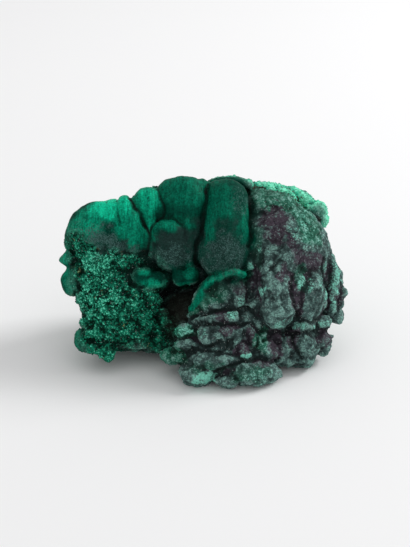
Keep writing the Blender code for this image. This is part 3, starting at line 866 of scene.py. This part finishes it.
def addGrains(name, points, normals, corners, masks):
    table = grains[name]
    count = table["count"]
    rng = np.random.default_rng(table["seed"])
    a, b, c = (points[corners[:, i]] for i in range(3))
    areas = np.linalg.norm(np.cross(b - a, c - a), axis=1) / 2
    weight = zoneWeights(masks, table["zone"])[corners].mean(axis=1) * areas
    weight *= a[:, 2] > grainClear
    picked = rng.choice(len(corners), count, p=weight / weight.sum())
    r1, r2 = rng.random((2, count, 1)) ** np.array([0.5, 1.0])[:, None, None]
    spot = a[picked] * (1 - r1) + b[picked] * r1 * (1 - r2) + c[picked] * r1 * r2
    nearest = corners[picked, 0]
    outward = normals[nearest]
    low, high = table["radius"]
    radius = low + (high - low) * rng.random(count) ** smallShare
    ball, faces = grainBall()
    across = np.cross(outward, rng.normal(size=outward.shape))
    across /= np.linalg.norm(across, axis=1, keepdims=True)
    along = np.cross(outward, across)
    stretch = rng.uniform(*grainStretch, (count, 3))
    wobble = 1 + rng.uniform(-table["rough"], table["rough"], (count, len(ball)))
    local = ball[None] * stretch[:, None] * wobble[..., None] * radius[:, None, None]
    verts = local[..., :1] * across[:, None] + local[..., 1:2] * along[:, None]
    verts += local[..., 2:] * outward[:, None]
    verts += (spot - outward * (radius * table["sunk"])[:, None])[:, None]
    verts[..., 2] = np.maximum(verts[..., 2], grainFloor)
    starts = np.arange(count) * len(ball)
    gathered = (faces[None] + starts[:, None, None]).reshape(-1, 3)
    mesh = bpy.data.meshes.new(name)
    mesh.from_pydata(verts.reshape(-1, 3).tolist(), [], gathered.tolist())
    values = {key: np.repeat(mask[nearest], len(ball)) for key, mask in masks.items()}
    values["tone"] = np.repeat(rng.random(count), len(ball))
    writeAttributes(mesh, values)
    obj = bpy.data.objects.new(name, mesh)
    bpy.context.scene.collection.objects.link(obj)
    print(name + ":", len(gathered), "faces")
    return obj


class Flow:  # one output socket, so that sums on it can be written out
    def __init__(self, tree, socket):
        self.tree = tree
        self.socket = socket

    def node(self, kind, inputs, output=0, **settings):
        made = self.tree.nodes.new(kind)
        for name, value in settings.items():
            setattr(made, name, value)
        for key, value in inputs.items():
            if isinstance(value, Flow):
                self.tree.links.new(value.socket, made.inputs[key])
            else:
                made.inputs[key].default_value = value
        return Flow(self.tree, made.outputs[output])

    def math(self, operation, other=0.0, swap=False, clamp=False):
        first, second = (other, self) if swap else (self, other)
        inputs = {0: first, 1: second}
        return self.node("ShaderNodeMath", inputs, operation=operation, use_clamp=clamp)

    def __add__(self, other):
        return self.math("ADD", other)

    def __radd__(self, other):
        return self.math("ADD", other, swap=True)

    def __sub__(self, other):
        return self.math("SUBTRACT", other)

    def __rsub__(self, other):
        return self.math("SUBTRACT", other, swap=True)

    def __mul__(self, other):
        return self.math("MULTIPLY", other)

    def __rmul__(self, other):
        return self.math("MULTIPLY", other, swap=True)

    def clip(self):
        return self.math("ADD", 0.0, clamp=True)

    def step(self, low, high):
        inputs = {"Value": self, "From Min": low, "From Max": high}
        return self.node("ShaderNodeMapRange", inputs, interpolation_type="SMOOTHSTEP")

    def mix(self, first, second):
        inputs = {0: self, 6: self.paint(first), 7: self.paint(second)}
        return self.node("ShaderNodeMix", inputs, 2, data_type="RGBA")

    def scaled(self, colour):
        inputs = {0: 1.0, 6: colour, 7: self}
        return self.node("ShaderNodeMix", inputs, 2, data_type="RGBA", blend_type="MULTIPLY")

    @staticmethod
    def paint(colour):
        return colour if isinstance(colour, Flow) else (*colour, 1)


colours = {
    # deepGreen to emerald runs from the satin's shaded green to its painted-sheen green
    "deepGreen": (0.0005, 0.046, 0.029),
    "emerald": (0.003, 0.50, 0.282),
    # painted shade green for the satin's lower parts
    "paintedShadeGreen": (0.014, 0.036, 0.031),
    "dustyGreen": (0.055, 0.125, 0.112),
    "tealDark": (0.020, 0.036, 0.035),
    "teal": (0.080, 0.146, 0.135),
    "mint": (0.17, 0.51, 0.40),
    "plum": (0.058, 0.042, 0.058),
    "plumDark": (0.026, 0.022, 0.030),
    "groundDark": (0.003, 0.028, 0.017),
    "groundGreen": (0.010, 0.235, 0.135),
    "groundPale": (0.10, 0.56, 0.38),
    "ochre": (0.26, 0.20, 0.06),
    # hollow and seam: painted shade in the deep hollow and along the creases
    "hollow": (0.013, 0.013, 0.009),
    "seam": (0.006, 0.016, 0.012),
    "ridgeDark": (0.040, 0.25, 0.17),
    "ridgeGreen": (0.06, 0.53, 0.35),
    "ridgePale": (0.19, 0.69, 0.48),
    "mossDark": (0.008, 0.048, 0.030),
    "moss": (0.031, 0.165, 0.110),
    "frostMint": (0.158, 0.300, 0.262),
    "rust": (0.12, 0.07, 0.05),
    # glint: colour of the painted glints
    "glint": (0.75, 0.85, 0.82),
}


# Patterns over the surface by grain in mm; each runs from 0 to 1.
clouds = {"broad": 7.0, "medium": 2.4, "fine": 0.7}
cells = {"specks": (0.42, 0), "dustAndGlints": (0.27, 2), "grit": (0.85, 1)}  # grain and colour channel
fibres = {"strands": 0.9, "threads": 0.35}
fibreStretch = (1.0, 0.14, 0.14)
patterns = (*clouds, *cells, *fibres, "tone")

# Each amount is (base, what each layer adds, span over which it goes from none to all).
# Patterns count from their middle.
# relief lightens raised parts and darkens creases in shade, plumLight, groundShade and ridgeShade:
# painted light and shade beside the stone's own mottling
amounts = {
    "shade": (
        0.40,
        {"relief": 0.45, "medium": 2.5, "broad": 1.0, "tone": 0.4, "paintedShade": -0.25, "fine": 0.5},
        None,
    ),
    "moss": (0.05, {"moss": 0.9, "broad": 0.9}, (0.20, 0.70)),
    "flecks": (
        0.38,
        {"fine": 0.9, "specks": 0.5, "medium": 2.3, "relief": 0.35, "tone": 0.45, "paintedShade": -0.15},
        (0.50, 1.15),
    ),
    "mint": (
        0,
        {"mint": 0.9, "relief": 0.3, "fine": 0.8, "specks": 0.4, "tone": 0.4},
        (0.45, 1.05),
    ),
    "plum": (0.10, {"plum": 0.75, "broad": 1.2, "medium": 1.0, "relief": -0.15}, (0.32, 0.60)),
    "plumLight": (0.5, {"fine": 1.0, "relief": 0.5}, None),
    "flicker": (0, {"strands": 1.7, "threads": 1.5, "fine": 1.2, "medium": 1.2}, None),
    # painted shade over the satin
    "darkened": (0, {"paintedShade": 0.95, "medium": 1.1, "fine": 0.8}, (0.12, 0.95)),
    "frosted": (
        0,
        {"frost": 0.75, "medium": 0.9, "dustAndGlints": 0.9, "fine": 0.5, "tone": 0.6},
        (0.45, 1.15),
    ),
    "groundShade": (0.12, {"groundLight": 0.55, "relief": 0.6, "grit": 0.8, "tone": 0.9}, None),
    "groundPale": (0, {"specks": 0.8, "groundLight": 0.2}, None),
    "stain": (0.65, {"broad": 0.7, "medium": 0.6, "grit": 0.25}, (0.86, 0.96)),
    "ridgeShade": (0.46, {"relief": 0.9, "medium": 1.5, "fine": 1.0, "tone": 0.8}, None),
    "rusty": (0.5, {"broad": 1.0, "medium": 0.8, "relief": -0.3}, (0.62, 0.75)),
    "bumps": (0.75, {"fine": 0.6, "specks": 0.5, "grit": 0.4}, None),
}
cover = {"flecks": 0.85, "plum": 0.95, "stain": 0.6, "rust": 0.75, "hollow": 0.93, "glints": 0.25}
plumGap = 0.5  # how far the flecks keep the plum away
glowing = {"paintedSheen": 0.95, "flicker": 0.05}
paleGround = {"shade": 0.7, "span": (0.76, 1.1)}
ridgeSpans = {"green": (0.0, 0.55), "pale": (0.50, 1.1)}
backPatches = 1.6  # the higher, the more of the back looks like the broken face
seamShade = {"base": 0.4, "span": (0.2, 0.8)}
sparkles = {"base": 0.40, "velvet": 0.15, "fine": 0.7, "specks": 0.5, "groundSpecks": 0.3}
creaseLight = {"relief": 0.9, "span": 0.55, "least": 0.45}  # less light deep in the creases
glintSpan = (0.975, 0.99)
roughness = {"silk": 0.5, "frost": 0.25, "ground": 0.1, "velvet": 0.86, "mint": -0.2}
cloudDetail = {"Detail": 3.0, "Roughness": 0.55}
fibreDetail = {"Detail": 3.0}
bump = {"Strength": 0.45, "Distance": 0.0002}
silkSpecular = 0.03
plush = {
    "Specular IOR Level": 0.12,
    "Sheen Weight": 0.05,
    "Sheen Roughness": 0.4,
    "Sheen Tint": (0.75, 0.95, 0.9, 1),
}


def malachiteMaterial():
    material = bpy.data.materials.new("malachite")
    material.use_nodes = True
    tree = material.node_tree
    tree.nodes.clear()
    start = Flow(tree, None)
    place = start.node("ShaderNodeTexCoord", {}, 3)
    inMm = {0: place, "Scale": 1 / mm}
    mmPlace = start.node("ShaderNodeVectorMath", inMm, operation="SCALE")
    along = start.node("ShaderNodeMapping", {"Vector": mmPlace, "Scale": fibreStretch})

    layers = {}
    for name in (*spots, "seam", "back", "relief", "tone"):
        layers[name] = start.node("ShaderNodeAttribute", {}, 2, attribute_name=name)
    for name, grain in clouds.items():
        inputs = {"Vector": mmPlace, "Scale": 1 / grain, **cloudDetail}
        layers[name] = start.node("ShaderNodeTexNoise", inputs)
    for name, (grain, channel) in cells.items():
        cell = start.node("ShaderNodeTexVoronoi", {"Vector": mmPlace, "Scale": 1 / grain}, 1)
        layers[name] = start.node("ShaderNodeSeparateColor", {0: cell}, channel)
    for name, grain in fibres.items():
        inputs = {"Vector": along, "Scale": 1 / grain, **fibreDetail}
        layers[name] = start.node("ShaderNodeTexNoise", inputs)

    def amount(name):
        total, parts, span = amounts[name]
        for key, strength in parts.items():
            layer = layers[key] - 0.5 if key in patterns else layers[key]
            total = total + layer * strength
        return total.step(*span) if span else total

    fine, medium, relief = layers["fine"], layers["medium"], layers["relief"]
    satin, ground, back, frost = (layers[key] for key in ("satin", "ground", "back", "frost"))
    lit = 1 - layers["hollow"]

    shade = amount("shade").clip()
    velvet = shade.mix(colours["tealDark"], colours["teal"])
    mossy = shade.mix(colours["mossDark"], colours["moss"])
    velvet = amount("moss").mix(velvet, mossy)
    flecks = amount("flecks")
    velvet = (flecks * cover["flecks"]).mix(velvet, colours["frostMint"])
    minted = amount("mint")
    velvet = minted.mix(velvet, colours["mint"])
    plumColour = amount("plumLight").clip().mix(colours["plumDark"], colours["plum"])
    velvet = (amount("plum") * (cover["plum"] - flecks * plumGap)).mix(velvet, plumColour)

    flicker = amount("flicker")
    # painted sheen: the satin runs from deepGreen to emerald where the sheen mask lies; flicker
    # adds fibre streaks
    glow = layers["paintedSheen"] * (glowing["paintedSheen"] + flicker) + flicker * glowing["flicker"]
    satinColour = glow.clip().mix(colours["deepGreen"], colours["emerald"])
    # painted shade: the satin turns dark green where the shade mask lies
    satinColour = amount("darkened").mix(satinColour, colours["paintedShadeGreen"])
    satinColour = amount("frosted").mix(satinColour, colours["dustyGreen"])

    groundShade = amount("groundShade").clip()
    groundColour = groundShade.mix(colours["groundDark"], colours["groundGreen"])
    pale = groundShade * paleGround["shade"] + amount("groundPale")
    pale = pale.step(*paleGround["span"])
    groundColour = pale.mix(groundColour, colours["groundPale"])
    groundColour = (amount("stain") * cover["stain"]).mix(groundColour, colours["ochre"])

    ridgeShade = amount("ridgeShade")
    greener, paler = (ridgeShade.step(*ridgeSpans[key]) for key in ("green", "pale"))
    ridgeColour = greener.mix(colours["ridgeDark"], colours["ridgeGreen"])
    ridgeColour = paler.mix(ridgeColour, colours["ridgePale"])
    ridgeColour = (amount("rusty") * cover["rust"]).mix(ridgeColour, colours["rust"])

    surface = satin.mix(velvet, satinColour)
    patches = (layers["broad"] * backPatches).clip()
    surface = (back * patches).clip().mix(surface, groundColour)
    surface = ground.mix(surface, groundColour)
    surface = layers["ridge"].mix(surface, ridgeColour)
    # painted shade: near-black in the deep hollow
    surface = (layers["hollow"] * cover["hollow"]).clip().mix(surface, colours["hollow"])
    # painted shade along the creases
    dark = (layers["seam"] * (seamShade["base"] + medium)).step(*seamShade["span"])
    surface = dark.mix(surface, colours["seam"])

    # Light and dark specks, and painted shade that darkens the creases
    sparkle = sparkles["base"] + sparkles["velvet"] * (1 - satin) * (1 - ground)
    sparkle += fine * sparkles["fine"]
    sparkle += layers["specks"] * (sparkles["specks"] + sparkles["groundSpecks"] * ground)
    reach = (1 + relief * creaseLight["relief"]).clip()
    level = sparkle * (reach * creaseLight["span"] + creaseLight["least"])
    surface = start.node("ShaderNodeCombineColor", {0: level, 1: level, 2: level}).scaled(surface)
    # painted glints: near-white specks where crystal facets catch the light
    glints = layers["dustAndGlints"].step(*glintSpan) * lit * (1 - satin)
    surface = (glints * cover["glints"]).mix(surface, colours["glint"])

    normal = start.node("ShaderNodeBump", {"Height": amount("bumps"), **bump})
    inputs = {"Base Color": surface, "Normal": normal}
    rough = roughness["silk"] + frost * roughness["frost"] + ground * roughness["ground"]
    silky = {**inputs, "Roughness": rough, "Specular IOR Level": silkSpecular}
    silky = start.node("ShaderNodeBsdfPrincipled", silky)
    rough = roughness["velvet"] + minted * roughness["mint"]
    velvety = start.node("ShaderNodeBsdfPrincipled", {**inputs, "Roughness": rough, **plush})
    smooth = (satin + ground + layers["ridge"]).clip() * lit
    both = start.node("ShaderNodeMixShader", {0: smooth, 1: velvety, 2: silky})
    output = tree.nodes.new("ShaderNodeOutputMaterial")
    tree.links.new(both.socket, output.inputs["Surface"])
    return material


def finishPiece(obj, offset, material):
    obj.data.transform(Matrix.Translation(offset) @ Matrix.Scale(mm, 4))
    obj.data.materials.clear()
    obj.data.materials.append(material)
    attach(obj, "root")


reliefRounds = 14
fullRelief = 0.35  # mm at which a bump or crease counts in full


def buildStone():
    obj, mesh, centre = stoneMesh()
    points, normals, edges = readMesh(mesh)
    mesh.calc_loop_triangles()
    corners = np.empty(len(mesh.loop_triangles) * 3, dtype=np.int32)
    mesh.loop_triangles.foreach_get("vertices", corners)
    corners = corners.reshape(-1, 3)
    masks = stoneMasks(points)
    standing = reliefOf(points, normals, edges, reliefRounds)
    masks["relief"] = np.clip(standing / fullRelief, -1, 1)
    writeAttributes(mesh, {**masks, "tone": np.full(len(points), 0.5)})
    mesh.polygons.foreach_set("use_smooth", np.ones(len(mesh.polygons), dtype=bool))
    low, high = cadBox
    middle = [(a + b) / 2 for a, b in zip(low, high)]
    offset = Vector((middle[0] - centre[0] * mm, middle[1] - centre[1] * mm, 0))
    material = malachiteMaterial()
    for name in grains:
        finishPiece(addGrains(name, points, normals, corners, masks), offset, material)
    finishPiece(obj, offset, material)
    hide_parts("malachite_specimen")
    return offset


studio = {
    "floor": (0.90, 0.90, 0.905),
    "floorSize": 12,
    "floorRoughness": 0.9,
    "floorSpecular": 0.1,
    "sky": (1.0, 1.0, 1.0),
    "skyStrength": 0.64,
    "keyPlace": (1.2, 0.45, 1.0),
    "keySize": 0.6,
    "keyPower": 14.6,
    "topPlace": (0.1, 0.5, 1.6),
    "topSize": 1.0,
    "topPower": 1.6,
    "aim": (0, 0, 0.03),
}


def addStudio():
    bpy.ops.mesh.primitive_plane_add(size=studio["floorSize"])
    floor = bpy.context.object
    floor.name = "floor"
    paper = bpy.data.materials.new("paper")
    paper.use_nodes = True
    shader = paper.node_tree.nodes["Principled BSDF"]
    shader.inputs["Base Color"].default_value = (*studio["floor"], 1)
    shader.inputs["Roughness"].default_value = studio["floorRoughness"]
    shader.inputs["Specular IOR Level"].default_value = studio["floorSpecular"]
    floor.data.materials.append(paper)
    world = bpy.data.worlds.new("studio")
    bpy.context.scene.world = world
    world.use_nodes = True
    sky = world.node_tree.nodes["Background"]
    sky.inputs["Color"].default_value = (*studio["sky"], 1)
    sky.inputs["Strength"].default_value = studio["skyStrength"]
    for name in ("key", "top"):
        lamp = bpy.data.lights.new(name, "AREA")
        lamp.size = studio[name + "Size"]
        lamp.energy = studio[name + "Power"]
        holder = bpy.data.objects.new(name, lamp)
        holder.location = studio[name + "Place"]
        aim = Vector(studio["aim"]) - holder.location
        holder.rotation_euler = aim.to_track_quat("-Z", "Y").to_euler()
        bpy.context.scene.collection.objects.link(holder)
    bpy.context.scene.view_settings.view_transform = "Standard"


view = {"lens": 85, "sensor": 36, "distance": 0.493, "height": 0.032}


def addCamera(offset):
    data = bpy.data.cameras.new("camera")
    data.lens = view["lens"]
    data.sensor_width = view["sensor"]
    camera = bpy.data.objects.new("camera", data)
    back = Vector((0, -math.cos(faceLean), math.sin(faceLean)))
    camera.location = Vector((offset.x, offset.y, view["height"])) + back * view["distance"]
    camera.rotation_euler = (-back).to_track_quat("-Z", "Y").to_euler()
    bpy.context.scene.collection.objects.link(camera)
    bpy.context.scene.camera = camera


offset = buildStone()
print("offset in mm:", [round(c * 1000, 2) for c in offset])
addStudio()
addCamera(offset)
